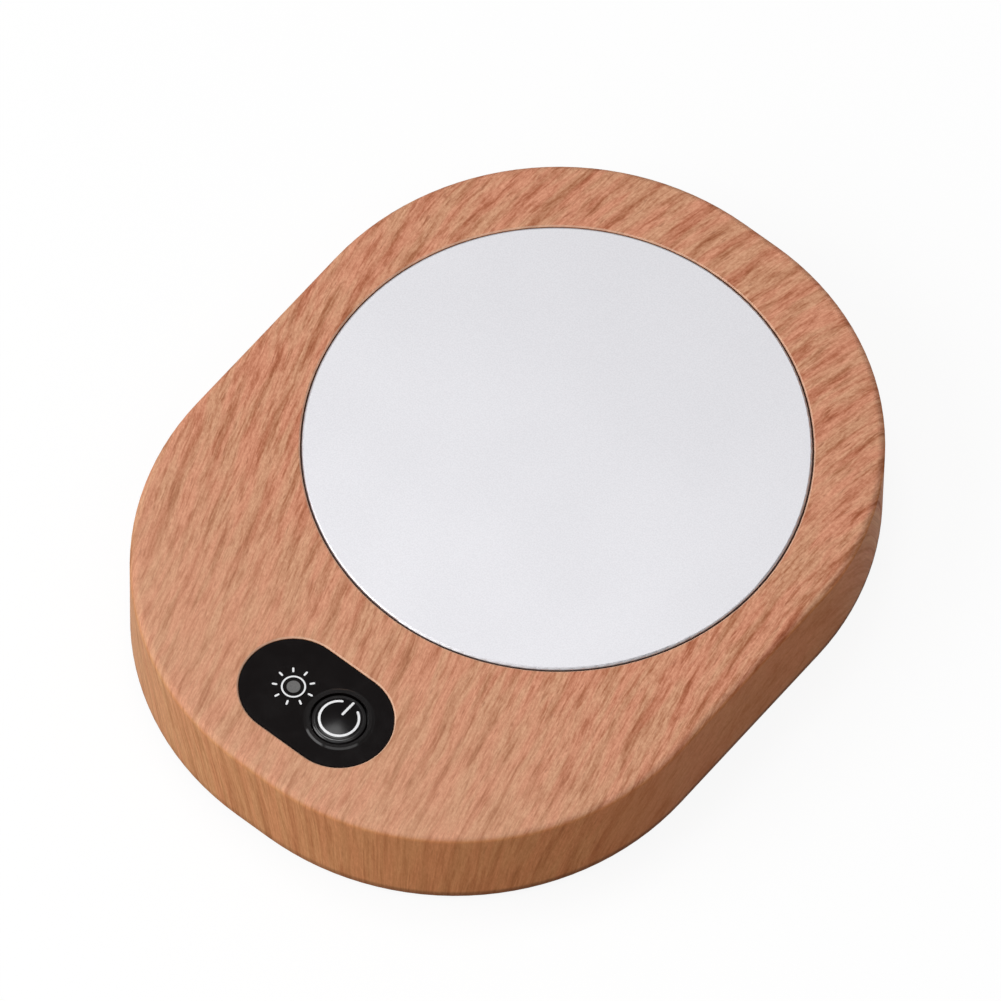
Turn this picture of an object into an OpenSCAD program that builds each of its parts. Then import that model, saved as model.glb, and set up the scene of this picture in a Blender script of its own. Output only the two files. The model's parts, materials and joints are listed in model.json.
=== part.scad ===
// Desk mug warmer: a wood-grain housing with a flush heating plate, a glossy control panel
// with one push button and one indicator, and a screwed base cover on rubber feet.
// +Z is up, and +Y runs from the control panel to the heating plate. The origin lies on the
// standing surface, under the middle of the housing.

/* [Housing] */
// Width of the housing
body_w = 109; // [108:0.5:124]
// Length of the housing, from the control end to the rear end
body_l = 140; // [139:0.5:160]
// Height of the housing without its feet
body_h = 20.4; // [20:0.2:28]
// Radius of the four corners, in plan
corner_r = 50.9; // [46:0.1:53]
// Radius of the rounded top edge
top_edge_r = 1.4; // [1:0.1:2.8]
// Radius of the rounded bottom edge
bottom_edge_r = 0.8; // [0.3:0.1:1]
// Thickness of the side wall
wall = 2.6; // [2:0.1:3]
// Thickness of the top
top_t = 3; // [2.6:0.1:3.6]

/* [Heating plate] */
// Diameter of the disc that carries the mug
plate_d = 89; // [80:0.2:89.8]
// Distance of the disc's centre behind the middle of the housing
plate_shift = 13.5; // [11:0.1:13.6]
// Height of the disc above the housing
plate_proud = 0.2; // [0:0.1:0.8]
// Thickness of the disc
plate_t = 1.8; // [1.4:0.1:2.2]
// Thickness of the skirt round the disc
skirt_t = 2.2; // [1.6:0.1:2.6]
// Thickness of the flange under the housing's lip
flange_t = 1.4; // [1:0.1:1.8]
// Width of the flange beyond the housing's lip
flange_w = 1.8; // [1.4:0.1:2.2]
// Gap between the disc and the housing, which the seal fills
plate_gap = 0.3; // [0.3:0.1:1]
// Thickness of the seal under the lip
seal_t = 0.8; // [0.5:0.1:1.2]
// Depth of the seal's edge below the top of the housing
seal_sink = 0.4; // [0.2:0.1:0.8]

/* [Heater] */
// Thickness of the heater film
film_t = 0.4; // [0.3:0.1:0.6]
// Thickness of the heating track on the film
track_t = 0.15; // [0.1:0.05:0.25]
// Width of the heating track
track_w = 2.2; // [1.5:0.1:2.8]
// Number of turns of the heating track
track_turns = 7; // [5:1:8]
// Distance from one turn to the next
track_pitch = 4.2; // [3.2:0.1:4.3]
// Thickness of the insulation pad
pad_t = 4; // [3.9:0.1:4.4]
// Thickness of the clamp tray
tray_t = 1.5; // [1.2:0.1:2]
// Diameter of the thermal fuse
fuse_d = 3.8; // [3:0.1:3.8]
// Length of the thermal fuse
fuse_l = 11; // [8:0.5:12]

/* [Control panel] */
// Length of the control panel, side to side
panel_l = 29.2; // [29:0.2:36]
// Width of the control panel
panel_w = 19; // [18.8:0.2:22]
// Thickness of the control panel
panel_t = 1.5; // [1.2:0.1:1.6]
// Distance from the front end of the housing to the middle of the panel
panel_to_front = 17.4; // [16.5:0.1:18.5]
// Depth of the panel below the top of the housing
panel_sink = 0.2; // [0:0.05:0.4]
// Distance from the middle of the panel to the button, and to the indicator
key_offset = 5.1; // [4.8:0.1:5.4]
// Diameter of the push button
button_d = 9.9; // [8:0.1:10]
// Height of the push button above the panel at rest
button_proud = 0.45; // [0.35:0.05:0.8]
// Travel of the push button
button_travel = 0.3; // [0.15:0.05:0.35]
// Diameter of the raised ring round the button
ring_d = 12.2; // [11.6:0.1:12.4]
// Height of the raised ring above the panel
ring_h = 0.2; // [0.1:0.05:0.3]
// Diameter of the indicator's light pipe
pipe_d = 2.4; // [1.8:0.1:3]

/* [Electronics] */
// Width of the main board
board_w = 42; // [41:0.5:46]
// Length of the main board
board_l = 26; // [25.5:0.5:26.5]
// Thickness of the boards
board_t = 1.6; // [1:0.1:1.8]
// Height of the room between the housing's top and the main board
board_drop = 6.5; // [6.2:0.1:6.8]
// Side of the push switch
switch_w = 6; // [5.6:0.1:7]
// Height of the push switch's case
switch_h = 3.2; // [3:0.1:3.4]
// Diameter of the push switch's plunger
plunger_d = 3.4; // [2.8:0.1:3.6]
// Diameter of the leads of the heater and of the power socket
lead_d = 1.6; // [1.2:0.1:1.8]
// Diameter of the leads of the temperature sensor
sensor_lead_d = 1; // [0.8:0.1:1.2]
// Width of the power socket
socket_w = 8.94; // [8.6:0.02:9.2]
// Height of the power socket
socket_h = 3.2; // [3:0.02:3.4]
// Length of the power socket
socket_l = 7.4; // [6.8:0.1:8]
// Width of the opening for the plug
plug_w = 13.2; // [12.6:0.1:14]
// Height of the opening for the plug
plug_h = 7.4; // [6.8:0.1:7.6]

/* [Base and feet] */
// Thickness of the base cover
base_t = 2; // [2:0.1:2.6]
// Depth of the base cover above the housing's bottom edge
base_sink = 0.3; // [0.1:0.1:0.6]
// Diameter of a foot
foot_d = 12; // [9:0.5:14]
// Height of a foot below the housing
foot_proud = 1.1; // [0.8:0.1:2]
// Depth of a foot's seat in the base cover
foot_seat = 0.8; // [0.5:0.1:1]

/* [Fasteners] */
// Diameter of the screws that hold the base cover
base_screw_d = 2.5; // [2.2:0.1:3]
// Diameter of the screws that hold the clamp tray
tray_screw_d = 2.5; // [2:0.1:2.6]
// Diameter of the screws that hold the boards
board_screw_d = 1.9; // [1.6:0.1:2.2]

/* [Hidden] */
$fn = 96;

// Softened edge round the openings in the top
edge_break = 0.25;

// Clearances
slip = 0.15; // round a piece that drops into its seat
touch = 0.05; // between round faces that meet, and between a tip and what it presses
screw_slip = 0.2; // round a screw where it passes through a piece
bite = 0.03; // round a screw where it holds
cut = 1; // how far a cutting shape runs past the face that it opens

// Heights
z_bottom = foot_proud;
z_top = z_bottom + body_h;
z_ceiling = z_top - top_t;
z_base = z_bottom + base_sink;
z_floor = z_base + base_t;
z_plate = z_top + plate_proud;
z_flange = z_ceiling - seal_t - flange_t;
z_film = z_plate - plate_t - film_t;
z_track = z_film - track_t;
z_pad = z_track - pad_t;
z_tray = z_pad - tray_t;
z_panel = z_top - panel_sink - panel_t;
tape_t = 0.2;
z_recess = z_panel - tape_t;
z_board = z_ceiling - board_drop;
z_board_under = z_board - board_t;

// Corner radius, limited by half the width
least_run = 0.5; // half the straight run that is left between two corners
corner_fit_r = min(corner_r, body_w / 2 - least_run);

// Places in plan
plate_y = plate_shift;
panel_y = panel_to_front - body_l / 2;
board_shift = 3; // the board lies nearer the plate than the panel does
board_y = panel_y + board_shift;
board_rear_y = board_y + board_l / 2;
button_at = [key_offset, panel_y];
pipe_at = [-key_offset, panel_y];

// Heating plate and what hangs under it
plate_r = plate_d / 2;
opening_r = plate_r + plate_gap;
flange_r = opening_r + flange_w;
skirt_r = plate_r - skirt_t;
plate_edge_r = 0.35;
flange_slip = 0.3; // between the flange and the collar round it
collar_r = flange_r + flange_slip;
collar_t = 2;
tray_rim_w = 3.4;
ear_r = 3.2;
ear_out = 2.3; // from the collar to the screws of the tray
ear_at = collar_r + collar_t + ear_out;
ear_angles = [235, 305];
hook_spread = 24; // angle that the hook takes up at the rear of the tray
hook_t = 1.6;
hook_reach = 2.2; // how far the hook's lip reaches in from the collar
hook_set = 0.2; // how far the hook's stem is set in from the collar's faces
pillar_at = 34; // pillars of the tray, from the centre of the disc
pillar_angle = 45;
film_in = 1.2; // from the skirt to the edge of the film
film_r = skirt_r - film_in;
track_gap = 8; // strip without track, where the leads come down
track_first_r = 10;
sensor_r = 2.2;
sensor_h = 2.5;
sensor_hole_r = 2.6;
lead_hole_r = 4;
lead_hole_at = 28; // from the centre of the disc towards the panel
fuse_at = 22; // from the centre of the disc towards the rear
fuse_slot_slip = 1;
fuse_leg_d = 0.8;
fuse_leg_l = 3;
fuse_slot_l = fuse_l + 2 * fuse_leg_l + fuse_slot_slip;

// Bosses and screws
boss_r = 3;
small_boss_r = 2.75;
front_boss_in = 17; // from the side of the housing
front_boss_behind = 11.5; // behind the middle of the panel
front_boss_at = [body_w / 2 - front_boss_in, panel_y + front_boss_behind];
pillar_place = [pillar_at * cos(pillar_angle), plate_y + pillar_at * sin(pillar_angle)];
foot_in = 19; // from the ends of the housing
front_foot_side = 28; // from the sides of the housing
rear_foot_side = 31;
front_foot_at = [body_w / 2 - front_foot_side, foot_in - body_l / 2];
rear_foot_at = [body_w / 2 - rear_foot_side, body_l / 2 - foot_in];
blind = 1; // how far a screw's hole runs past its tip
base_screw_l = 8;
base_head_h = 1.2;
tray_screw_l = 5;
tray_head_h = 1.6;
board_screw_l = 6;
board_head_h = 1.3;
head_ratio = 1.9; // head diameter to screw diameter
drive_l_ratio = 1.25; // length of the cross recess in the head to screw diameter
drive_w_ratio = 0.28; // width of its arms to screw diameter
drive_depth_ratio = 0.6; // its depth to the head's height
board_boss_in = 3; // from the edges of the main board

// Push button and switch
button_flange_w = 1.3;
button_flange_t = 0.8;
button_stem_r = 2.2;
button_slip = 0.2;
button_edge_r = 0.7;
button_rim_w = 0.25; // flat rim between the rounded edge and the domed middle
button_crown = 0.2; // height of the domed middle
ring_slope_w = 0.35; // width of the ring's sloping edge
pipe_flange_r = 2.3;
pipe_flange_t = 0.9;
switch_cover_t = 0.3;
plunger_flange_t = 0.7;
plunger_flange_r = 2.4;
switch_well_r = 2.6;
dome_rest = 0.3; // height of the dome when the button is pressed
dome_rise = button_travel + dome_rest;
dome_t = 0.12;
z_switch_top = z_board + switch_h;
z_switch_well = z_switch_top - plunger_flange_t - dome_rise - touch;
plunger_out = 1.1; // plunger above the switch's cover
z_plunger = z_switch_top + switch_cover_t + plunger_out;

// Power socket
post_r = 2.4;
post_h = 1.4;
socket_board_t = board_t * 0.75;
z_socket_board = z_floor + post_h;
z_socket = z_socket_board + socket_board_t;
socket_in = 0.2; // from the inside of the wall to the mouth
socket_mouth_y = body_l / 2 - wall - socket_in;
socket_board_w = 18;
socket_board_l = 11.5;
socket_overhang = 1.2; // the mouth reaches past the edge of its board
socket_board_rear_y = socket_mouth_y - socket_overhang;
socket_skin = 0.3;
socket_post_side = 2.3; // from the side of the socket to its screws
socket_post_back = 9.2; // from the mouth to the screws
socket_post_at = [socket_w / 2 + socket_post_side, socket_mouth_y - socket_post_back];
socket_tip_gap = 0.6; // what is left of the cover under the tips of the socket's screws
socket_hole_gap = 0.5; // what is left under their holes
plug_corner_r = 1;
z_plug = z_socket + socket_h / 2;

// Connectors under the main board
connector = [7.6, 7, 4.6];
connector_pitch = 9.5;
pair_half = 1.3; // half the distance between the two leads of a pair
z_lead = z_board_under - connector[2] / 2;

// Flat shapes
module rounded_rect(w, l, r) {
    square([w, l - 2 * r], center = true);
    square([w - 2 * r, l], center = true);
    for (x = [-1, 1], y = [-1, 1])
        translate([x * (w / 2 - r), y * (l / 2 - r)]) circle(r);
}

module obround(l, w) {
    square([l - w, w], center = true);
    for (x = [-1, 1]) translate([x * (l - w) / 2, 0]) circle(d = w);
}

// Opening with a rounded-end outline that flares outwards by out over its height
module obround_flare(l, w, out, h) {
    half = (l - w) / 2;
    for (x = [-1, 1]) translate([x * half, 0, 0]) cylinder(d1 = w, d2 = w + 2 * out, h = h);
    rotate([90, 0, 90]) linear_extrude(2 * half, center = true)
        polygon([[-w / 2, 0], [w / 2, 0], [w / 2 + out, h], [-w / 2 - out, h]]);
}

module body_outline(inset) {
    rounded_rect(body_w - 2 * inset, body_l - 2 * inset, corner_fit_r - inset);
}

// Bar from the axis to reach, with its outer corners rounded
module edge_section(reach, h, r_top, r_bottom) {
    square([reach - r_top, h]);
    square([reach - r_bottom, h - r_top]);
    translate([0, r_bottom]) square([reach, h - r_top - r_bottom]);
    translate([reach - r_top, h - r_top]) circle(r_top);
    translate([reach - r_bottom, r_bottom]) circle(r_bottom);
}

// Solid shapes
// Straight run of the housing's edge, square to X, with the same section on both sides
module edge_run(reach, run) {
    rotate([90, 0, 0])
        linear_extrude(run, center = true)
            for (side = [0, 1]) mirror([side, 0])
                edge_section(reach, body_h, top_edge_r, bottom_edge_r);
}

// Outer form of the housing: four turned corners, with straight runs between them
module body_form() {
    corner = [body_w / 2 - corner_fit_r, body_l / 2 - corner_fit_r];
    translate([0, 0, z_bottom]) {
        edge_run(body_w / 2, 2 * corner[1]);
        rotate([0, 0, 90]) edge_run(body_l / 2, 2 * corner[0]);
        for (turn = [0, 1], side = [0, 1]) rotate([0, 0, 180 * turn]) mirror([side, 0, 0])
            translate(corner) rotate_extrude(angle = 90)
                edge_section(corner_fit_r, body_h, top_edge_r, bottom_edge_r);
    }
}

module tube_ring(r_out, r_in, z0, z1) {
    translate([0, 0, z0]) difference() {
        cylinder(r = r_out, h = z1 - z0);
        translate([0, 0, -cut]) cylinder(r = r_in, h = z1 - z0 + 2 * cut);
    }
}

module column(at, r, z0, z1) {
    translate([at[0], at[1], z0]) cylinder(r = r, h = z1 - z0);
}

// Cross recess for the driver, in the face of a screw's head
module drive_recess(at, d, head_h, z_face) {
    for (turn = [0, 90]) translate([at[0], at[1], z_face]) rotate([0, 0, turn])
        cube([drive_l_ratio * d, drive_w_ratio * d, 2 * drive_depth_ratio * head_h], center = true);
}

// Screw with its head's seat at z, pointing up
module screw_up(at, d, l, head_h, z) {
    difference() {
        union() {
            column(at, d / 2, z - head_h / 2, z + l);
            column(at, d * head_ratio / 2, z - head_h, z);
        }
        drive_recess(at, d, head_h, z - head_h);
    }
}

module screw_down(at, d, l, head_h, z) {
    difference() {
        union() {
            column(at, d / 2, z - l, z + head_h / 2);
            column(at, d * head_ratio / 2, z, z + head_h);
        }
        drive_recess(at, d, head_h, z + head_h);
    }
}

// Round lead along a smooth curve through the points of a route
function unit(v) = v / norm(v);
function curve(a, b, c, d, t) =
    (2 * b + (c - a) * t + (2 * a - 5 * b + 4 * c - d) * t ^ 2 + (3 * b - a - 3 * c + d) * t ^ 3) / 2;
function smooth(route, steps) = let (last = len(route) - 1) [
    for (i = [0:last - 1], s = [0:steps - 1])
        curve(route[max(i - 1, 0)], route[i], route[i + 1], route[min(i + 2, last)], s / steps),
    route[last],
];
function ring(centre, along, r, sides) =
    let (across = unit(cross(along, [1, 0, 0])), up = cross(across, along))
    [for (k = [0:sides - 1]) centre + r * (cos(360 * k / sides) * across + sin(360 * k / sides) * up)];

module lead(route, d, steps = 4, sides = 8) {
    lowest = z_floor + d / 2 + touch; // where the lead lies on the base cover
    path = [for (p = smooth(route, steps)) [p[0], p[1], max(p[2], lowest)]];
    last = len(path) - 1;
    end = len(route) - 1;
    along = [for (i = [0:last]) unit(
        i == 0 ? route[1] - route[0] : i == last ? route[end] - route[end - 1] : path[i + 1] - path[i - 1]
    )];
    points = [for (i = [0:last]) each ring(path[i], along[i], d / 2, sides)];
    walls = [for (i = [0:last - 1], k = [0:sides - 1])
        let (a = i * sides + k, b = i * sides + (k + 1) % sides)
        each [[a, b + sides, b], [a, a + sides, b + sides]]];
    tail = last * sides;
    caps = [for (k = [1:sides - 2]) each [[0, k, k + 1], [tail, tail + k + 1, tail + k]]];
    polyhedron(points, concat(walls, caps));
}

// Places that repeat
function both_sides(at) = [for (x = [-1, 1]) [x * at[0], at[1]]];
base_screw_places = concat(both_sides(front_boss_at), both_sides(pillar_place));
tray_screw_places = [for (a = ear_angles) [ear_at * cos(a), plate_y + ear_at * sin(a)]];
board_screw_places = [for (y = [-1, 1]) each both_sides(
    [board_w / 2 - board_boss_in, board_y + y * (board_l / 2 - board_boss_in)]
)];
socket_screw_places = both_sides(socket_post_at);
foot_places = concat(both_sides(front_foot_at), both_sides(rear_foot_at));

module at_plate() {
    translate([0, plate_y, 0]) children();
}

// Housing
module bosses() {
    for (at = both_sides(front_boss_at)) column(at, boss_r, z_floor, z_ceiling);
    for (at = tray_screw_places) column(at, small_boss_r, z_pad, z_ceiling);
    for (at = board_screw_places) column(at, small_boss_r, z_board, z_ceiling);
}

module base_screw_hole(at) {
    column(at, base_screw_d / 2 + bite, z_floor - cut, z_base + base_head_h + base_screw_l + blind);
}

module boss_holes() {
    for (at = both_sides(front_boss_at)) base_screw_hole(at);
    for (at = tray_screw_places)
        column(at, tray_screw_d / 2 + bite, z_pad - cut, z_tray + tray_screw_l + blind);
    for (at = board_screw_places)
        column(at, board_screw_d / 2 + bite, z_board - cut, z_board_under + board_screw_l + blind);
}

module plug_opening() {
    translate([0, body_l / 2 + cut, z_plug]) rotate([90, 0, 0])
        linear_extrude(wall + 2 * cut) rounded_rect(plug_w, plug_h, plug_corner_r);
}

module panel_recess() {
    rim = 2.2; // shelf that carries the panel
    translate([0, panel_y, z_recess]) linear_extrude(z_top - z_recess + cut)
        obround(panel_l + 2 * slip, panel_w + 2 * slip);
    translate([0, panel_y, z_ceiling - cut]) linear_extrude(top_t)
        obround(panel_l - 2 * rim, panel_w - 2 * rim);
    translate([0, panel_y, z_top - edge_break])
        obround_flare(panel_l + 2 * slip, panel_w + 2 * slip, 2 * edge_break, 2 * edge_break);
}

// Hook that carries the rear edge of the tray
module tray_hook() {
    rotate([0, 0, 90 - hook_spread / 2]) rotate_extrude(angle = hook_spread) {
        translate([collar_r + hook_set, z_tray - hook_t])
            square([collar_t - 2 * hook_set, z_ceiling - z_tray + hook_t + cut]);
        translate([collar_r - hook_reach, z_tray - hook_t])
            square([hook_reach + collar_t - hook_set, hook_t - touch]);
    }
}

module plate_opening() {
    column([0, 0], opening_r, z_ceiling - cut, z_top + cut);
    translate([0, 0, z_top - edge_break])
        cylinder(r1 = opening_r, r2 = opening_r + 2 * edge_break, h = 2 * edge_break);
}

module housing() {
    color("#C78C6F") difference() {
        union() {
            difference() {
                body_form();
                translate([0, 0, z_bottom - cut])
                    linear_extrude(z_ceiling - z_bottom + cut) body_outline(wall);
            }
            at_plate() tube_ring(collar_r + collar_t, collar_r, z_pad + touch, z_ceiling + cut);
            at_plate() tray_hook();
            bosses();
        }
        at_plate() plate_opening();
        panel_recess();
        boss_holes();
        plug_opening();
    }
}

// Heating plate, seal and heater
module heating_plate() {
    color("#E3E2E7") at_plate() difference() {
        union() {
            translate([0, 0, z_flange]) rotate_extrude()
                edge_section(plate_r, z_plate - z_flange, plate_edge_r, plate_edge_r / 2);
            column([0, 0], flange_r, z_flange, z_flange + flange_t);
        }
        column([0, 0], skirt_r, z_flange - cut, z_plate - plate_t);
    }
}

module plate_seal() {
    color("#2A211E") at_plate() {
        tube_ring(flange_r, plate_r + touch, z_ceiling - seal_t, z_ceiling);
        tube_ring(opening_r - touch, plate_r + touch, z_ceiling - seal_t, z_top - seal_sink);
    }
}

module heater_film() {
    color("#B5651D") at_plate() column([0, 0], film_r, z_film, z_film + film_t);
}

// One unbroken track: open rings, joined in turn at one side of the gap and the other
module track_shape() {
    for (i = [0:track_turns - 1]) {
        r = track_first_r + i * track_pitch;
        difference() {
            circle(r + track_w / 2);
            circle(r - track_w / 2);
            translate([-track_gap / 2, -r - track_pitch]) square([track_gap, r + track_pitch]);
        }
        if (i < track_turns - 1) {
            side = i % 2 == 0 ? 1 : -1;
            translate([side * (track_gap + track_w) / 2, -r - track_pitch / 2])
                square([track_w, track_pitch], center = true);
        }
    }
}

module heater_track() {
    color("#8C8F94") at_plate() translate([0, 0, z_track]) linear_extrude(track_t) track_shape();
}

module insulation_pad() {
    color("#E8E4DA") at_plate() difference() {
        column([0, 0], film_r, z_pad, z_track);
        column([0, 0], sensor_hole_r, z_pad - cut, z_track + cut);
        column([0, -lead_hole_at], lead_hole_r, z_pad - cut, z_track + cut);
        translate([0, fuse_at, z_pad + pad_t / 2])
            cube([fuse_slot_l, fuse_d + fuse_slot_slip, pad_t + 2 * cut], center = true);
    }
}

module clamp_tray() {
    color("#5B5E63") at_plate() difference() {
        union() {
            column([0, 0], flange_r - touch, z_tray, z_pad);
            tube_ring(flange_r - touch, flange_r - tray_rim_w, z_tray, z_flange);
            for (a = ear_angles) rotate([0, 0, a]) {
                translate([flange_r - ear_r, -ear_r, z_tray])
                    cube([ear_at - flange_r + ear_r, 2 * ear_r, tray_t]);
                column([ear_at, 0], ear_r, z_tray, z_pad);
            }
            for (at = both_sides(pillar_place))
                column([at[0], at[1] - plate_y], boss_r, z_floor, z_tray + tray_t / 2);
        }
        for (at = both_sides(pillar_place)) base_screw_hole([at[0], at[1] - plate_y]);
        column([0, 0], sensor_hole_r, z_tray - cut, z_pad + cut);
        column([0, -lead_hole_at], lead_hole_r, z_tray - cut, z_pad + cut);
        for (a = ear_angles) rotate([0, 0, a])
            column([ear_at, 0], tray_screw_d / 2 + screw_slip, z_tray - cut, z_pad + cut);
    }
}

module tray_screws() {
    color("#9EA3A8") for (at = tray_screw_places)
        screw_up(at, tray_screw_d, tray_screw_l, tray_head_h, z_tray);
}

module temperature_sensor() {
    color("#1E1E20") at_plate() column([0, 0], sensor_r, z_film - sensor_h, z_film);
}

module thermal_fuse() {
    color("#C9C2A6") at_plate() translate([0, fuse_at, z_pad + touch + fuse_d / 2]) rotate([0, 90, 0]) {
        cylinder(d = fuse_d, h = fuse_l, center = true);
        cylinder(d = fuse_leg_d, h = fuse_l + 2 * fuse_leg_l, center = true);
    }
}

// Control panel, button and indicator
// Low ring with a sloping edge, moulded on the panel round the button
module button_ring() {
    root = panel_t / 2; // how far the ring's section runs down into the panel
    translate([button_at[0], button_at[1], z_panel + panel_t]) rotate_extrude() polygon([
        [0, -root], [ring_d / 2, -root], [ring_d / 2, 0], [ring_d / 2 - ring_slope_w, ring_h], [0, ring_h]
    ]);
}

module control_panel() {
    color("#16151A") difference() {
        union() {
            translate([0, panel_y, z_panel]) linear_extrude(panel_t) obround(panel_l, panel_w);
            button_ring();
        }
        column(button_at, button_d / 2 + button_slip, z_panel - cut, z_panel + panel_t + cut);
        column(pipe_at, pipe_d / 2 + touch, z_panel - cut, z_panel + panel_t + cut);
    }
}

module panel_tape() {
    tape_w = 1.8;
    color("#303034") translate([0, panel_y, z_recess]) linear_extrude(tape_t) difference() {
        obround(panel_l, panel_w);
        obround(panel_l - 2 * tape_w, panel_w - 2 * tape_w);
    }
}

module power_button() {
    rise = panel_t + button_proud;
    crown_w = button_d / 2 - button_edge_r - button_rim_w;
    crown_r = (crown_w ^ 2 + button_crown ^ 2) / (2 * button_crown);
    color("#1B1A1F") translate([button_at[0], button_at[1], 0]) {
        translate([0, 0, z_panel - button_flange_t]) rotate_extrude() edge_section(
            button_d / 2, rise - button_crown + button_flange_t, button_edge_r, button_edge_r / 2
        );
        column([0, 0], button_d / 2 + button_flange_w, z_panel - button_flange_t, z_panel);
        column([0, 0], button_stem_r, z_plunger + touch, z_panel);
        intersection() {
            translate([0, 0, z_panel + rise - crown_r]) sphere(crown_r);
            column([0, 0], crown_w + button_rim_w / 2, z_panel, z_panel + rise + cut);
        }
    }
}

module light_pipe() {
    color("#8A8A8C") {
        column(pipe_at, pipe_d / 2, z_board + led_h + 2 * touch, z_panel + panel_t);
        column(pipe_at, pipe_flange_r, z_panel - pipe_flange_t, z_panel);
    }
}

// Main board and what is soldered to it
module main_board() {
    board_corner_r = 2;
    color("#1F6B45") difference() {
        translate([0, board_y, z_board_under]) linear_extrude(board_t)
            rounded_rect(board_w, board_l, board_corner_r);
        for (at = board_screw_places)
            column(at, board_screw_d / 2 + screw_slip, z_board_under - cut, z_board + cut);
    }
}

module board_screws() {
    color("#9EA3A8") for (at = board_screw_places)
        screw_up(at, board_screw_d, board_screw_l, board_head_h, z_board_under);
}

module switch_case() {
    color("#1C1C1E") difference() {
        translate([button_at[0], button_at[1], z_board + switch_h / 2])
            cube([switch_w, switch_w, switch_h], center = true);
        column(button_at, switch_well_r, z_switch_well, z_switch_top + cut);
    }
}

module switch_cover() {
    color("#C3C6CA") difference() {
        translate([button_at[0], button_at[1], z_switch_top + switch_cover_t / 2])
            cube([switch_w, switch_w, switch_cover_t], center = true);
        column(button_at, plunger_d / 2 + slip, z_switch_top - cut, z_switch_top + switch_cover_t + cut);
    }
}

module switch_plunger() {
    color("#2B2B2E") {
        column(button_at, plunger_flange_r, z_switch_top - plunger_flange_t, z_switch_top);
        column(button_at, plunger_d / 2, z_switch_top - plunger_flange_t, z_plunger);
    }
}

// Sprung dome: a thin cap of a sphere, whose rim stands in the switch's well
module switch_dome() {
    rim_r = switch_well_r - slip;
    dome_r = (rim_r ^ 2 + dome_rise ^ 2) / (2 * dome_rise);
    color("#D5C9A0") translate([button_at[0], button_at[1], z_switch_well]) intersection() {
        translate([0, 0, dome_rise - dome_r]) difference() {
            sphere(dome_r);
            sphere(dome_r - dome_t);
        }
        cylinder(r = dome_r, h = dome_rise + cut);
    }
}

led_r = 1.5;
led_h = 4.4;
led_flange_r = 1.9;
led_flange_t = 1;

module indicator_led() {
    color("#E9E6DA") {
        column(pipe_at, led_flange_r, z_board, z_board + led_flange_t);
        column(pipe_at, led_r, z_board, z_board + led_h - led_r);
        translate([pipe_at[0], pipe_at[1], z_board + led_h - led_r]) sphere(led_r);
    }
}

// Row of parts soldered under the main board, counted from the middle of the board
chip_row = 4; // in front of the middle
chip_side = 11; // to each side of the middle

module under_board(at, size) {
    translate([at[0] - size[0] / 2, board_y + at[1] - size[1] / 2, z_board_under - size[2]]) cube(size);
}

module control_chip() {
    color("#151517") under_board([0, -chip_row], [5, 4, 1.6]);
}

module power_transistor() {
    color("#19191B") under_board([chip_side, -chip_row], [6.5, 6.1, 2.3]);
}

module filter_capacitor() {
    can_r = 3.15;
    can_h = 4.5;
    color("#B9BDC2")
        column([-chip_side, board_y - chip_row], can_r, z_board_under - can_h, z_board_under);
}

module wire_connector(x) {
    under_board([x, (board_l - connector[1]) / 2], connector);
}

module power_connector() {
    color("#F1EDE2") wire_connector(-connector_pitch);
}

module heater_connector() {
    color("#F1EDE2") wire_connector(0);
}

module sensor_connector() {
    color("#F1EDE2") wire_connector(connector_pitch);
}

// Power socket
module socket_board() {
    board_corner_r = 1;
    color("#1F6B45") difference() {
        translate([0, socket_board_rear_y - socket_board_l / 2, z_socket_board])
            linear_extrude(socket_board_t)
                rounded_rect(socket_board_w, socket_board_l, board_corner_r);
        for (at = socket_screw_places)
            column(at, board_screw_d / 2 + screw_slip, z_socket_board - cut, z_socket + cut);
    }
}

module socket_screws() {
    reach = z_socket - z_base - socket_tip_gap;
    color("#9EA3A8") for (at = socket_screw_places)
        screw_down(at, board_screw_d, reach, board_head_h, z_socket);
}

module in_socket(from_mouth) {
    translate([0, socket_mouth_y - from_mouth, z_plug]) rotate([90, 0, 0]) children();
}

module socket_shell() {
    color("#C9CDD2") in_socket(0) linear_extrude(socket_l) difference() {
        obround(socket_w, socket_h);
        obround(socket_w - 2 * socket_skin, socket_h - 2 * socket_skin);
    }
}

module socket_insert() {
    tongue_w = 6.7;
    tongue_t = 0.7;
    tongue_sink = 0.7; // depth of the tongue's tip in the mouth
    block_l = 1.6;
    color("#202023") {
        in_socket(socket_l - block_l) linear_extrude(block_l)
            obround(socket_w - 2 * (socket_skin + touch), socket_h - 2 * (socket_skin + touch));
        in_socket(tongue_sink) linear_extrude(socket_l - tongue_sink - block_l / 2)
            square([tongue_w, tongue_t], center = true);
    }
}

// Leads. Each lies on the base cover for most of its way.
z_laid = z_floor + lead_d / 2 + touch;

module power_lead(side) {
    x = -connector_pitch + side * pair_half;
    start_x = side * 2.4;
    edge_y = socket_board_rear_y - socket_board_l;
    z_start = z_socket + lead_d / 2 + touch;
    lead([
        [start_x, edge_y + 3.4, z_start],
        [start_x, edge_y - 2, z_start],
        [start_x - 1, edge_y - 12, z_laid],
        [x, edge_y - 30, z_laid],
        [x, plate_y, z_laid],
        [x, board_rear_y + 16, z_laid],
        [x, board_rear_y + 5, z_lead],
        [x, board_rear_y, z_lead],
    ], lead_d);
}

module power_lead_left() {
    color("#B5251F") power_lead(-1);
}

module power_lead_right() {
    color("#1A1A1C") power_lead(1);
}

module heater_lead(side) {
    x = side * pair_half;
    y = plate_y - lead_hole_at;
    lead([
        [x, y, z_film],
        [x, y, z_tray],
        [x, y - 2.5, z_tray - 4],
        [x, board_rear_y + 9, z_lead + 0.5],
        [x, board_rear_y + 4, z_lead],
        [x, board_rear_y, z_lead],
    ], lead_d);
}

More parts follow.
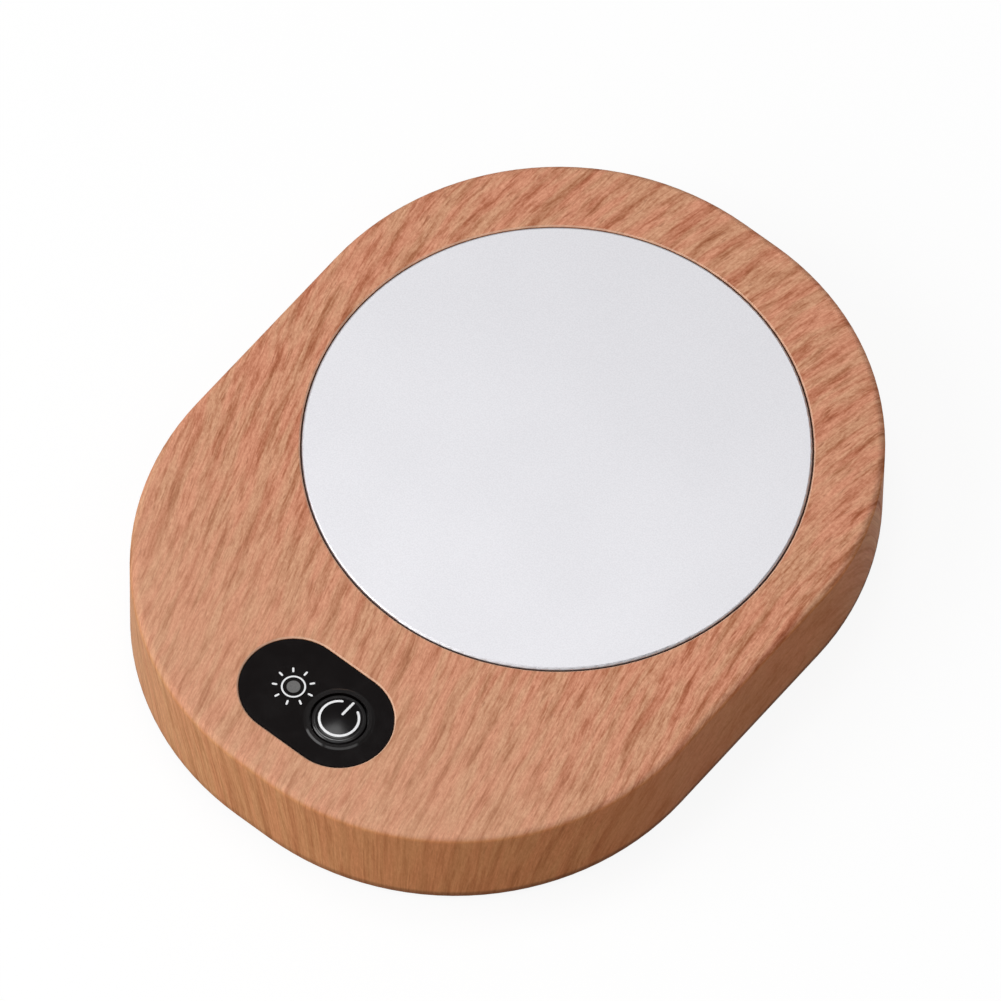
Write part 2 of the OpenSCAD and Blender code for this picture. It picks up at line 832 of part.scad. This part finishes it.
module heater_lead_left() {
    color("#EDEBE6") heater_lead(-1);
}

module heater_lead_right() {
    color("#EDEBE6") heater_lead(1);
}

module sensor_lead(side) {
    x = connector_pitch + side * pair_half;
    start_x = side * 0.9;
    z_low = z_floor + sensor_lead_d / 2 + touch;
    lead([
        [start_x, plate_y, z_film - sensor_h],
        [start_x, plate_y, z_tray - 2],
        [start_x + 1, plate_y - 3, z_low + 2],
        [x - 3, plate_y - 14, z_low],
        [x, board_rear_y + 16, z_low],
        [x, board_rear_y + 5, z_lead],
        [x, board_rear_y, z_lead],
    ], sensor_lead_d);
}

module sensor_lead_left() {
    color("#D9B640") sensor_lead(-1);
}

module sensor_lead_right() {
    color("#D9B640") sensor_lead(1);
}

// Base cover, its screws and feet
module base_cover() {
    color("#2C2A2B") difference() {
        union() {
            translate([0, 0, z_base]) linear_extrude(base_t) body_outline(wall + slip);
            for (at = socket_screw_places) column(at, post_r, z_floor - base_t / 2, z_socket_board);
        }
        for (at = base_screw_places) {
            column(at, base_screw_d / 2 + screw_slip, z_base - cut, z_floor + cut);
            column(at, base_screw_d * head_ratio / 2 + screw_slip, z_base - cut, z_base + base_head_h);
        }
        for (at = socket_screw_places)
            column(at, board_screw_d / 2 + bite, z_base + socket_hole_gap, z_socket_board + cut);
        for (at = foot_places) column(at, foot_d / 2 + slip, z_base - cut, z_base + foot_seat);
    }
}

module base_screws() {
    color("#6E7277") for (at = base_screw_places)
        screw_up(at, base_screw_d, base_screw_l, base_head_h, z_base + base_head_h);
}

module foot(at) {
    foot_edge_r = 0.4;
    color("#1D1C1C") translate([at[0], at[1], 0]) rotate([180, 0, 0])
        translate([0, 0, -z_base - foot_seat]) rotate_extrude()
            edge_section(foot_d / 2, z_base + foot_seat, foot_edge_r, foot_edge_r / 2);
}

module foot_front_left() {
    foot(foot_places[0]);
}

module foot_front_right() {
    foot(foot_places[1]);
}

module foot_rear_left() {
    foot(foot_places[2]);
}

module foot_rear_right() {
    foot(foot_places[3]);
}

housing();
heating_plate();
plate_seal();
heater_film();
heater_track();
insulation_pad();
clamp_tray();
tray_screws();
temperature_sensor();
thermal_fuse();
control_panel();
panel_tape();
power_button();
light_pipe();
main_board();
board_screws();
switch_case();
switch_cover();
switch_plunger();
switch_dome();
indicator_led();
control_chip();
power_transistor();
filter_capacitor();
power_connector();
heater_connector();
sensor_connector();
socket_board();
socket_screws();
socket_shell();
socket_insert();
power_lead_left();
power_lead_right();
heater_lead_left();
heater_lead_right();
sensor_lead_left();
sensor_lead_right();
base_cover();
base_screws();
foot_front_left();
foot_front_right();
foot_rear_left();
foot_rear_right();
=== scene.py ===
"""Desk mug warmer with a wood-grain housing, a flush metal heating plate and a glossy control panel.

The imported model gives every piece's shape. This script adds materials, the signs on the panel,
a pale floor, soft studio light and the camera.
"""

import json
import math

import bmesh
import bpy
from mathutils import Matrix, Vector


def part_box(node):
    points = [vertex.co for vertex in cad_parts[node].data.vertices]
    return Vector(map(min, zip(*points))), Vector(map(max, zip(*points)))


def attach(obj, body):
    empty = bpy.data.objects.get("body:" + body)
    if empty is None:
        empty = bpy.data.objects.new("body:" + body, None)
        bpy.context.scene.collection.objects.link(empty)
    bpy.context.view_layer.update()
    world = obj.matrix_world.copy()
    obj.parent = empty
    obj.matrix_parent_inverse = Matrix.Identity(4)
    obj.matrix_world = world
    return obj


MM = 0.001

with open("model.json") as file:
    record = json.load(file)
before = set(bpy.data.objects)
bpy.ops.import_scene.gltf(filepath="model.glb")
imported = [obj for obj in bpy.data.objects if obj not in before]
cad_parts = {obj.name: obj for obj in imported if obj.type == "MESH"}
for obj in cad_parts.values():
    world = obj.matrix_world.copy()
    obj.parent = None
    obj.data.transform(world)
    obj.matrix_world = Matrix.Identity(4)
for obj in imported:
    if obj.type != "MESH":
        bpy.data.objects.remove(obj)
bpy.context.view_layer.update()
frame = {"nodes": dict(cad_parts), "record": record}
scene = bpy.context.scene
HOUSING_H = (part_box("housing")[1].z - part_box("housing")[0].z) / MM


def middle(node):
    low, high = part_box(node)
    return (low + high) / 2


# Colours


def linear(red, green, blue):
    """A colour from 0..255 display values."""

    def one(value):
        share = value / 255
        return share / 12.92 if share <= 0.04045 else ((share + 0.055) / 1.055) ** 2.4

    return one(red), one(green), one(blue)


def rgba(color):
    return (*color, 1.0)


def scaled(color, factor):
    """The colour made lighter or darker, at most white."""
    return tuple(min(channel * factor, 1.0) for channel in color)


# Node graphs


class Graph:
    """A material's node graph, with short calls for the nodes used here."""

    def __init__(self, name):
        self.material = bpy.data.materials.new(name)
        self.material.use_nodes = True
        self.tree = self.material.node_tree
        self.shader = self.tree.nodes["Principled BSDF"]
        self.output = self.tree.nodes["Material Output"]

    def add(self, kind, **settings):
        node = self.tree.nodes.new(kind)
        for key, value in settings.items():
            setattr(node, key, value)
        return node

    def feed(self, socket, value):
        if isinstance(value, bpy.types.NodeSocket):
            self.tree.links.new(value, socket)
        else:
            socket.default_value = value

    def feed_color(self, socket, color):
        self.feed(socket, color if isinstance(color, bpy.types.NodeSocket) else rgba(color))

    def math(self, operation, first, second=0.0):
        node = self.add("ShaderNodeMath", operation=operation)
        self.feed(node.inputs[0], first)
        self.feed(node.inputs[1], second)
        return node.outputs[0]

    def plus(self, first, second):
        return self.math("ADD", first, second)

    def minus(self, first, second):
        return self.math("SUBTRACT", first, second)

    def times(self, first, second):
        return self.math("MULTIPLY", first, second)

    def vector(self, x, y, z):
        node = self.add("ShaderNodeCombineXYZ")
        for socket, value in zip(node.inputs, (x, y, z)):
            self.feed(socket, value)
        return node.outputs[0]

    def split(self, vector):
        node = self.add("ShaderNodeSeparateXYZ")
        self.feed(node.inputs[0], vector)
        return node.outputs

    def place(self):
        """Place on the object, in millimetres, as three numbers."""
        coordinates = self.add("ShaderNodeTexCoord").outputs["Object"]
        return [self.times(axis, 1 / MM) for axis in self.split(coordinates)]

    def noise(self, place, detail=2.0, roughness=0.5, distortion=0.0):
        node = self.add("ShaderNodeTexNoise")
        self.feed(node.inputs["Vector"], place)
        node.inputs["Scale"].default_value = 1.0
        node.inputs["Detail"].default_value = detail
        node.inputs["Roughness"].default_value = roughness
        node.inputs["Distortion"].default_value = distortion
        return node.outputs["Fac"]

    def solid_noise(self, place, rates, **settings):
        """Noise through the solid, with its rates per millimetre along the three axes."""
        spots = [self.times(axis, rate) for axis, rate in zip(place, rates)]
        return self.noise(self.vector(*spots), **settings)

    def sheet_noise(self, sheet, across, along, slot, **settings):
        """Noise on a flat sheet, with its rates per millimetre across and along, in a slot of its own."""
        spot = self.vector(self.times(sheet[0], across), self.times(sheet[1], along), slot)
        return self.noise(spot, **settings)

    def layer(self, sheet, start, end, share=1.0, **settings):
        """The range from start to end of a sheet's noise, as a share of the whole."""
        return self.times(self.spread(self.sheet_noise(sheet, **settings), start, end), share)

    def spread(self, value, start, end, low=0.0, high=1.0):
        """Low up to start and high from end on, eased between them."""
        node = self.add("ShaderNodeMapRange", interpolation_type="SMOOTHSTEP")
        for socket, number in zip(node.inputs, (value, start, end, low, high)):
            self.feed(socket, number)
        return node.outputs[0]

    def ramp(self, value, stops):
        node = self.add("ShaderNodeValToRGB")
        elements = node.color_ramp.elements
        while len(elements) < len(stops):
            elements.new(0.5)
        for element, (position, color) in zip(elements, stops):
            element.position = position
            element.color = rgba(color)
        self.feed(node.inputs[0], value)
        return node.outputs[0]

    def mix(self, share, first, second, blend="MIX"):
        node = self.add("ShaderNodeMix", data_type="RGBA", blend_type=blend)
        self.feed(node.inputs[0], share)
        self.feed_color(node.inputs[6], first)
        self.feed_color(node.inputs[7], second)
        return node.outputs[2]

    def bump(self, height, strength, distance):
        node = self.add("ShaderNodeBump")
        node.inputs["Strength"].default_value = strength
        node.inputs["Distance"].default_value = distance
        self.feed(node.inputs["Height"], height)
        self.feed(self.shader.inputs["Normal"], node.outputs[0])

    def set(self, **values):
        for key, value in values.items():
            self.feed(self.shader.inputs[key.replace("_", " ")], value)
        return self.material


# Wood film: how its lines run on top, in millimetres
GRAIN_FAN = 0.00155
SWING_REACH = 14.9
SWING_RATE = 0.0224
SWING_CENTRE = 35.0
RIPPLE_REACH = 1.4

# Wood film: how far it is drawn out, skewed and run on for each millimetre down the walls
WALL_DRAW = 0.45
WALL_SKEW = 0.12
WALL_RUN = 0.45

# Wood film: broad bands, by how fast they follow each other, how far they wander and how dark they are
BAND_RATE = 1.5
BAND_WANDER = 7.0
BAND_SHARE = 0.28

# Wood film: colours of its grain from pale to dark, of its marks and patches, of the painted sheen on its
# front, of its plainer walls, of the painted shade on its walls and along its lower edge, and of the painted
# highlight on its cut edges
GRAIN_TONES = [
    (0.06, linear(223, 167, 136)),
    (0.38, linear(196, 137, 108)),
    (0.68, linear(171, 109, 80)),
    (0.96, linear(147, 85, 58)),
]
FLECK_BROWN = linear(150, 92, 66)
YELLOWER = (0.975, 1.025, 0.99)
PINKER = (1.025, 0.93, 0.93)
# Painted sheen: the paler colour towards the front
FRONT_SHEEN = linear(207, 162, 131)
PLAIN_WALL = linear(194, 133, 104)
PLAIN_SHARE = 0.2
# Painted shade on the walls: multipliers for walls that face left, towards the key light, and right, away
# from it
LEFT_WALL_SHADE = (1.02, 0.955, 0.725)
RIGHT_WALL_SHADE = (1.01, 0.82, 0.54)
# Painted highlight: pale colour on the cut edges round the openings
CUT_EDGE_HIGHLIGHT = linear(236, 204, 180)
# Painted shade: the colour of the dark band along the housing's lower edge
BOTTOM_SHADE_BROWN = linear(38, 24, 18)

# Wood film: painted shade along the housing's lower edge, by the height over that edge at which it starts and
# at which it is full
BOTTOM_SHADE_START = 2.4
BOTTOM_SHADE_FULL = 1.2


def film_place(g, place, facing, depth):
    """Place on the film in millimetres, across its lines and along them.

    The lines lean to the left over most of the length and swing back behind the plate.
    """
    x, y = place[:2]
    drawn = g.times(depth, WALL_DRAW)
    flat_x = g.plus(g.minus(x, g.times(depth, WALL_SKEW)), g.times(facing[0], drawn))
    flat_y = g.plus(y, g.times(facing[1], drawn))
    fan = g.minus(1.0, g.times(flat_y, GRAIN_FAN))
    swing = g.math("SINE", g.times(g.plus(flat_y, SWING_CENTRE), SWING_RATE))
    lines = g.plus(g.times(flat_x, fan), g.times(swing, SWING_REACH))
    ripple = g.sheet_noise((flat_x, flat_y), across=0.1, along=0.07, slot=5.0)
    across = g.plus(lines, g.times(ripple, RIPPLE_REACH))
    along = g.minus(y, g.times(depth, WALL_RUN))
    return across, along


def film_tone(g, film):
    """How dark the film is: broad bands broken along their length, streaks, fibres and specks."""
    wander = g.times(g.sheet_noise(film, across=0.13, along=0.03, slot=3.0, detail=1.0), BAND_WANDER)
    waves = g.math("SINE", g.plus(g.times(film[0], BAND_RATE), wander))
    breaks = g.layer(film, across=0.3, along=0.07, slot=7.0, start=0.38, end=0.62)
    bands = g.times(g.spread(waves, start=0.1, end=1.0), breaks)
    streaks = g.layer(
        film, across=1.25, along=0.15, slot=11.0, roughness=0.6, start=0.45, end=0.72, share=0.33
    )
    fibres = g.layer(film, across=2.7, along=0.4, slot=23.0, roughness=0.6, start=0.25, end=0.75, share=0.26)
    specks = g.layer(film, across=2.3, along=1.5, slot=29.0, roughness=0.7, start=0.2, end=0.8, share=0.28)
    tone = g.times(bands, BAND_SHARE)
    for finer in (streaks, fibres, specks):
        tone = g.plus(tone, finer)
    return tone


def wall_color(g, color, facing, depth):
    """The drawn film: plainer on the wall, most of all on the right, browner there from painted shade, pale
    from a painted highlight where it is cut at an opening, and darker from painted shade along its lower
    edge."""
    to_x, _, upright = facing
    wall = g.spread(upright, start=0.85, end=0.25)
    to_right = g.spread(to_x, start=-0.65, end=0.95)
    plain = g.plus(g.times(to_right, PLAIN_SHARE), g.spread(to_x, start=0.88, end=1.0, high=0.45))
    color = g.mix(g.times(wall, plain), color, PLAIN_WALL)
    # Painted shade: the walls are tinted browner than the top, most of all towards the right
    color = g.mix(wall, color, g.mix(to_right, LEFT_WALL_SHADE, RIGHT_WALL_SHADE), blend="MULTIPLY")
    # Painted highlight: a pale rim on the tilted cut edge round the plate and the panel
    tilted = g.times(g.spread(upright, start=0.76, end=0.73), g.spread(upright, start=0.65, end=0.68))
    cut_edge_highlight = g.times(tilted, g.spread(depth, start=0.30, end=0.27, high=0.4))
    color = g.mix(cut_edge_highlight, color, CUT_EDGE_HIGHLIGHT)
    # Painted shade: a darker band along the housing's lower edge, strongest on the right
    bottom_shade = g.spread(depth, start=HOUSING_H - BOTTOM_SHADE_START, end=HOUSING_H - BOTTOM_SHADE_FULL)
    bottom_shade = g.times(bottom_shade, g.spread(to_right, start=0.0, end=1.0, low=0.15, high=0.55))
    return g.mix(bottom_shade, color, BOTTOM_SHADE_BROWN)


def wood_grain():
    """Printed wood grain: the film lies flat on top and is drawn down over the edge."""
    g = Graph("wood_grain")
    place = g.place()
    facing = g.split(g.add("ShaderNodeNewGeometry").outputs["Normal"])
    depth = g.minus(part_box("housing")[1].z / MM, place[2])
    film = film_place(g, place, facing, depth)
    tone = film_tone(g, film)
    color = g.ramp(tone, GRAIN_TONES)
    flecks = g.layer(film, across=1.7, along=0.36, slot=37.0, detail=1.0, start=0.63, end=0.75, share=0.5)
    color = g.mix(flecks, color, FLECK_BROWN)

    # Patches of a pinker or a yellower tone, and a painted sheen that makes the front paler
    patches = g.layer(film, across=0.42, along=0.07, slot=43.0, start=0.35, end=0.65)
    color = g.mix(1.0, color, g.mix(patches, YELLOWER, PINKER), blend="MULTIPLY")
    # Painted sheen: the front of the housing is made paler
    pale = g.spread(place[1], start=-10.0, end=-62.0, high=0.32)
    color = g.mix(pale, color, FRONT_SHEEN)

    g.bump(g.minus(1.0, g.plus(tone, flecks)), strength=0.10, distance=0.06 * MM)
    return g.set(
        Base_Color=wall_color(g, color, facing, depth),
        Roughness=g.spread(tone, start=0.0, end=1.0, low=0.46, high=0.60),
        Specular_IOR_Level=0.025,
    )


# Other materials

BLASTED_DARK = (0.735, 0.730, 0.760)
BLASTED_LIGHT = (0.795, 0.790, 0.820)
LINE_SHADE = 0.86
HAZE_LIFT = 1.15
FELT_DARK = (0.66, 0.63, 0.56)
FELT_LIGHT = (0.86, 0.84, 0.78)
INK_DARK = (0.70, 0.70, 0.71)
INK_LIGHT = (0.88, 0.88, 0.89)


def blasted_metal():
    """Fine blasted aluminium."""
    g = Graph("plate_metal")
    place = g.place()
    grain = g.solid_noise(place, rates=(4.0, 4.0, 4.0), detail=4.0)
    cloud = g.solid_noise(place, rates=(0.045, 0.045, 0.045), detail=1.0)
    g.bump(grain, strength=0.10, distance=0.03 * MM)
    return g.set(
        Base_Color=g.mix(g.spread(grain, start=0.3, end=0.7), BLASTED_DARK, BLASTED_LIGHT),
        Metallic=1.0,
        Roughness=g.spread(cloud, start=0.3, end=0.7, low=0.50, high=0.52),
    )


def moulded(name, color, roughness, gloss=0.5, speckle=0.12, grain=3.0, bump=0.08):
    """Moulded plastic or rubber: fine surface texture and a slight change of tone."""
    g = Graph(name)
    place = g.place()
    fine = g.solid_noise(place, rates=(grain, grain, grain), detail=3.0)
    broad = g.solid_noise(place, rates=(0.07, 0.07, 0.07))
    average = g.times(g.plus(fine, broad), 0.5)
    share = g.spread(average, start=0.35, end=0.65)
    g.bump(fine, strength=bump, distance=0.04 * MM)
    return g.set(
        Base_Color=g.mix(share, scaled(color, 1 - speckle), scaled(color, 1 + speckle)),
        Roughness=g.spread(broad, start=0.3, end=0.7, low=roughness - 0.03, high=roughness + 0.05),
        Specular_IOR_Level=gloss,
    )


def worked_metal(name, color, roughness):
    """Sheet or turned metal, with fine lines from its working."""
    g = Graph(name)
    lines = g.solid_noise(g.place(), rates=(0.6, 6.0, 6.0), detail=3.0)
    g.bump(lines, strength=0.06, distance=0.03 * MM)
    return g.set(
        Base_Color=g.mix(g.spread(lines, start=0.3, end=0.7), scaled(color, LINE_SHADE), color),
        Metallic=1.0,
        Roughness=g.spread(lines, start=0.3, end=0.7, low=roughness - 0.04, high=roughness + 0.06),
    )


def gloss_black(name, color, roughness, gloss, coat, coat_roughness):
    """Glossy black moulding with faint handling marks, and a clear coat on the edges round the button."""
    g = Graph(name)
    place = g.place()
    haze = g.solid_noise(place, rates=(0.35, 0.35, 0.35), detail=4.0)
    button = middle("power_button") / MM
    away_x = g.math("POWER", g.minus(place[0], button.x), 2.0)
    away_y = g.math("POWER", g.minus(place[1], button.y), 2.0)
    away = g.math("SQRT", g.plus(away_x, away_y))
    coated = g.times(g.spread(away, start=4.1, end=4.3), g.spread(away, start=6.25, end=6.1))
    return g.set(
        Base_Color=g.mix(g.spread(haze, start=0.35, end=0.7), color, scaled(color, HAZE_LIFT)),
        Roughness=g.spread(haze, start=0.35, end=0.7, low=roughness, high=roughness + 0.03),
        Specular_IOR_Level=gloss,
        Coat_Weight=g.times(coated, coat),
        Coat_Roughness=coat_roughness,
        Coat_IOR=1.7,
    )


def felt():
    """Matted fibres."""
    g = Graph("felt")
    fibre = g.solid_noise(g.place(), rates=(2.5, 2.5, 2.5), detail=6.0, distortion=1.5)
    g.bump(fibre, strength=0.6, distance=0.3 * MM)
    return g.set(Base_Color=g.mix(fibre, FELT_DARK, FELT_LIGHT), Roughness=0.95)


def white_ink():
    """Printed ink, a little uneven."""
    g = Graph("white_ink")
    patchy = g.solid_noise(g.place(), rates=(4.0, 4.0, 0.0))
    return g.set(
        Base_Color=g.mix(patchy, INK_DARK, INK_LIGHT),
        Roughness=0.5,
        Specular_IOR_Level=0.3,
    )


MATERIALS = {
    "wood_grain": wood_grain(),
    "plate_metal": blasted_metal(),
    "seal_rubber": moulded("seal_rubber", linear(56, 34, 27), roughness=0.7, gloss=0.2),
    "film": moulded("film", (0.46, 0.13, 0.01), roughness=0.35),
    "track_metal": worked_metal("track_metal", (0.30, 0.31, 0.34), roughness=0.4),
    "felt": felt(),
    "tray_plastic": moulded("tray_plastic", (0.10, 0.11, 0.12), roughness=0.5),
    "screw_steel": worked_metal("screw_steel", (0.46, 0.48, 0.50), roughness=0.34),
    "black_plastic": moulded("black_plastic", (0.014, 0.014, 0.015), roughness=0.45),
    "fuse_metal": worked_metal("fuse_metal", (0.60, 0.56, 0.40), roughness=0.35),
    "panel_gloss": gloss_black(
        "panel_gloss", (0.0040, 0.0026, 0.0026), roughness=0.1, gloss=0.15, coat=0.2, coat_roughness=0.13
    ),
    "tape": moulded("tape", (0.030, 0.030, 0.034), roughness=0.8),
    "button_gloss": gloss_black(
        "button_gloss", (0.0038, 0.0028, 0.0030), roughness=0.12, gloss=0.18, coat=0.45, coat_roughness=0.24
    ),
    "light_pipe": moulded("light_pipe", linear(96, 95, 94), roughness=0.3, gloss=0.3, speckle=0.15),
    "board_green": moulded("board_green", (0.013, 0.147, 0.060), roughness=0.3),
    "socket_metal": worked_metal("socket_metal", (0.62, 0.64, 0.67), roughness=0.25),
    "dome_metal": worked_metal("dome_metal", (0.66, 0.58, 0.35), roughness=0.25),
    "led_lens": moulded("led_lens", (0.80, 0.78, 0.70), roughness=0.15, speckle=0.03),
    "can_metal": worked_metal("can_metal", (0.52, 0.55, 0.58), roughness=0.35),
    "connector_plastic": moulded("connector_plastic", (0.84, 0.81, 0.72), roughness=0.45, speckle=0.05),
    "lead_red": moulded("lead_red", (0.46, 0.018, 0.014), roughness=0.5),
    "lead_black": moulded("lead_black", (0.010, 0.010, 0.012), roughness=0.5),
    "lead_white": moulded("lead_white", (0.80, 0.79, 0.75), roughness=0.5, speckle=0.04),
    "lead_yellow": moulded("lead_yellow", (0.69, 0.47, 0.05), roughness=0.5),
    "base_plastic": moulded(
        "base_plastic", (0.025, 0.023, 0.024), roughness=0.55, gloss=0.35, grain=2.0, bump=0.25
    ),
    "foot_rubber": moulded("foot_rubber", (0.014, 0.013, 0.013), roughness=0.8, gloss=0.2, bump=0.2),
}
INK = white_ink()

for entry in frame["record"]["subparts"]:
    mesh = frame["nodes"][entry["node"]].data
    mesh.materials.clear()
    mesh.materials.append(MATERIALS[entry["material_slot"]])


# Signs on the panel and the button: how far the ink stands over the surface and reaches under it, and the
# angles of the points on a line's round ends
INK_T = 0.012 * MM
INK_SINK = 0.02 * MM
CAP_ANGLES = (30, 60, 84)

# Sun: a ring, and rays with three points each, which are given in millimetres
SUN_RING_R = 2.03 * MM
SUN_RING_W = 0.30 * MM
SUN_RING_STEPS = 72
SUN_RAYS = 9
SUN_RAY_POINTS = (3.03, 3.33, 3.63)
SUN_RAY_W = 0.36 * MM

# Power: a ring that is open for some degrees to both sides of a bar, given in millimetres from its inner end,
# on a crown with this half width and rise
POWER_RING_R = 3.45 * MM
POWER_RING_GAP = 30
POWER_RING_STEPS = 60
POWER_W = 0.44 * MM
POWER_BAR_START = 1.0
POWER_BAR_STEP = 0.29
POWER_BAR_POINTS = 11
CROWN_W = 4.0 * MM
CROWN_H = 0.2 * MM


def arc(radius, start, end, steps):
    """Points on a circle, with angles counted clockwise from +Y."""
    turns = [math.radians(start + (end - start) * i / steps) for i in range(steps + 1)]
    return [Vector((radius * math.sin(a), radius * math.cos(a))) for a in turns]


def stroke(bm, points, width, centre, surface, closed=False):
    """Adds a flat line of ink with round ends, which follows the surface under it."""
    half = width / 2
    rows = []
    count = len(points)
    for i, point in enumerate(points):
        before = points[i - 1] if closed or i > 0 else point
        after = points[(i + 1) % count] if closed or i < count - 1 else point
        rows.append((point, (after - before).normalized(), half))
    if not closed:
        head, tail = rows[0], rows[-1]
        caps = [(math.sin(math.radians(a)), math.cos(math.radians(a))) for a in CAP_ANGLES]
        first = [(head[0] - head[1] * half * s, head[1], half * c) for s, c in reversed(caps)]
        last = [(tail[0] + tail[1] * half * s, tail[1], half * c) for s, c in caps]
        rows = first + rows + last
    rings = []
    for point, along, reach in rows:
        side = Vector((-along.y, along.x)) * reach
        left, right = point + side, point - side
        ring = []
        for flat, lift in ((left, INK_T), (right, INK_T), (right, -INK_SINK), (left, -INK_SINK)):
            ring.append(bm.verts.new((centre.x + flat.x, centre.y + flat.y, surface(flat) + lift)))
        rings.append(ring)
    pairs = list(zip(rings, rings[1:]))
    if closed:
        pairs.append((rings[-1], rings[0]))
    for one, two in pairs:
        for k in range(4):
            bm.faces.new((one[k], one[(k + 1) % 4], two[(k + 1) % 4], two[k]))
    if not closed:
        bm.faces.new(list(reversed(rings[0])))
        bm.faces.new(rings[-1])


def ink_object(name, bm, body):
    """Makes the ink a piece of its own, which rides on a body."""
    bmesh.ops.recalc_face_normals(bm, faces=bm.faces)
    mesh = bpy.data.meshes.new(name)
    bm.to_mesh(mesh)
    bm.free()
    mesh.materials.append(INK)
    piece = bpy.data.objects.new(name, mesh)
    scene.collection.objects.link(piece)
    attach(piece, body)


def sun_sign():
    """Ring with nine rays round the indicator's light pipe."""
    panel_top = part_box("light_pipe")[1].z
    centre = middle("light_pipe")

    def surface(flat):
        return panel_top

    bm = bmesh.new()
    ring = arc(SUN_RING_R, 0, 360, SUN_RING_STEPS)[:-1]
    stroke(bm, ring, SUN_RING_W, centre, surface, closed=True)
    for i in range(SUN_RAYS):
        turn = math.radians(360 / SUN_RAYS * i)
        out = Vector((math.sin(turn), math.cos(turn)))
        stroke(bm, [out * reach * MM for reach in SUN_RAY_POINTS], SUN_RAY_W, centre, surface)
    ink_object("sign_sun", bm, "warmer")


def power_sign():
    """Open ring with a bar, on the domed top of the button."""
    cap_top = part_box("power_button")[1].z
    centre = middle("power_button")
    crown_r = (CROWN_W**2 + CROWN_H**2) / (2 * CROWN_H)

    def surface(flat):
        return cap_top - crown_r + math.sqrt(crown_r**2 - flat.length_squared)

    bm = bmesh.new()
    ring = arc(POWER_RING_R, POWER_RING_GAP, 360 - POWER_RING_GAP, POWER_RING_STEPS)
    stroke(bm, ring, POWER_W, centre, surface)
    bar = [Vector((0, (POWER_BAR_START + POWER_BAR_STEP * i) * MM)) for i in range(POWER_BAR_POINTS)]
    stroke(bm, bar, POWER_W, centre, surface)
    ink_object("sign_power", bm, "power_button")


sun_sign()
power_sign()


# Camera: its place and its three axes in the frame
EYE = Vector((1.22930, -1.56842, 3.47927))
RIGHT = Vector((0.775253, 0.631564, 0.010470))
UP = Vector((-0.551328, 0.668487, 0.499162))
BACK = Vector((0.308254, -0.392749, 0.866446))
SENSOR_W = 36.0
FOCAL_LENGTH = 825.1
VIEW_END = 100.0

camera_data = bpy.data.cameras.new("camera")
camera_data.sensor_width = SENSOR_W
camera_data.lens = FOCAL_LENGTH
camera_data.clip_end = VIEW_END
camera = bpy.data.objects.new("camera", camera_data)
camera.matrix_world = Matrix.Translation(EYE) @ Matrix((RIGHT, UP, BACK)).transposed().to_4x4()
scene.collection.objects.link(camera)
scene.camera = camera


# Floor: its half width in metres, its tone as a light source and to the eye, and how much of it glows
FLOOR_HALF = 6.0
FLOOR_GREY = (0.34, 0.34, 0.34)
FLOOR_WHITE = (0.95, 0.95, 0.95)
FLOOR_GLOW = 0.9
WHITE = (1.0, 1.0, 1.0)


def floor_material():
    """Pale floor: white to the eye, with the object's shadow, and a soft grey as a light source."""
    g = Graph("floor")
    path = g.add("ShaderNodeLightPath")
    seen = g.math("MAXIMUM", path.outputs["Is Camera Ray"], path.outputs["Is Glossy Ray"])
    seen = g.math("MAXIMUM", seen, path.outputs["Is Transmission Ray"])
    diffuse = g.add("ShaderNodeBsdfDiffuse")
    g.feed(diffuse.inputs["Color"], g.mix(seen, FLOOR_GREY, FLOOR_WHITE))
    glow = g.add("ShaderNodeEmission")
    g.feed_color(glow.inputs["Color"], WHITE)
    g.feed(glow.inputs["Strength"], 1.0)
    both = g.add("ShaderNodeMixShader")
    g.feed(both.inputs[0], g.times(seen, FLOOR_GLOW))
    g.feed(both.inputs[1], diffuse.outputs[0])
    g.feed(both.inputs[2], glow.outputs[0])
    g.feed(g.output.inputs["Surface"], both.outputs[0])
    return g.material


floor_mesh = bpy.data.meshes.new("floor")
floor_mesh.from_pydata(
    [(x * FLOOR_HALF, y * FLOOR_HALF, 0.0) for x, y in ((-1, -1), (1, -1), (1, 1), (-1, 1))],
    [],
    [(0, 1, 2, 3)],
)
floor_mesh.materials.append(floor_material())
floor = bpy.data.objects.new("floor", floor_mesh)
scene.collection.objects.link(floor)


# Lights and world


def softbox(name, direction, distance, width, height, watts):
    """Adds a soft box in a direction from the origin, which it faces."""
    data = bpy.data.lights.new(name, "AREA")
    data.shape = "RECTANGLE"
    data.size = width
    data.size_y = height
    data.energy = watts
    light = bpy.data.objects.new(name, data)
    direction = Vector(direction).normalized()
    light.location = direction * distance
    light.rotation_euler = direction.to_track_quat("Z", "Y").to_euler()
    scene.collection.objects.link(light)


softbox("key", (-0.50, -0.62, 0.60), distance=1.2, width=0.8, height=0.8, watts=8.35)
softbox("overhead", (-0.22, 0.11, 0.97), distance=1.5, width=0.48, height=0.48, watts=5.45)
softbox("front", (0.338, -0.326, 0.883), distance=1.5, width=1.5, height=0.32, watts=3.0)
softbox("fill", (0.12, -0.90, 0.42), distance=1.5, width=1.8, height=0.9, watts=2.9)

WORLD_STRENGTH = 0.32
world = bpy.data.worlds.new("world")
world.use_nodes = True
sky = world.node_tree.nodes["Background"]
sky.inputs["Color"].default_value = rgba(WHITE)
sky.inputs["Strength"].default_value = WORLD_STRENGTH
scene.world = world
scene.view_settings.view_transform = "Standard"
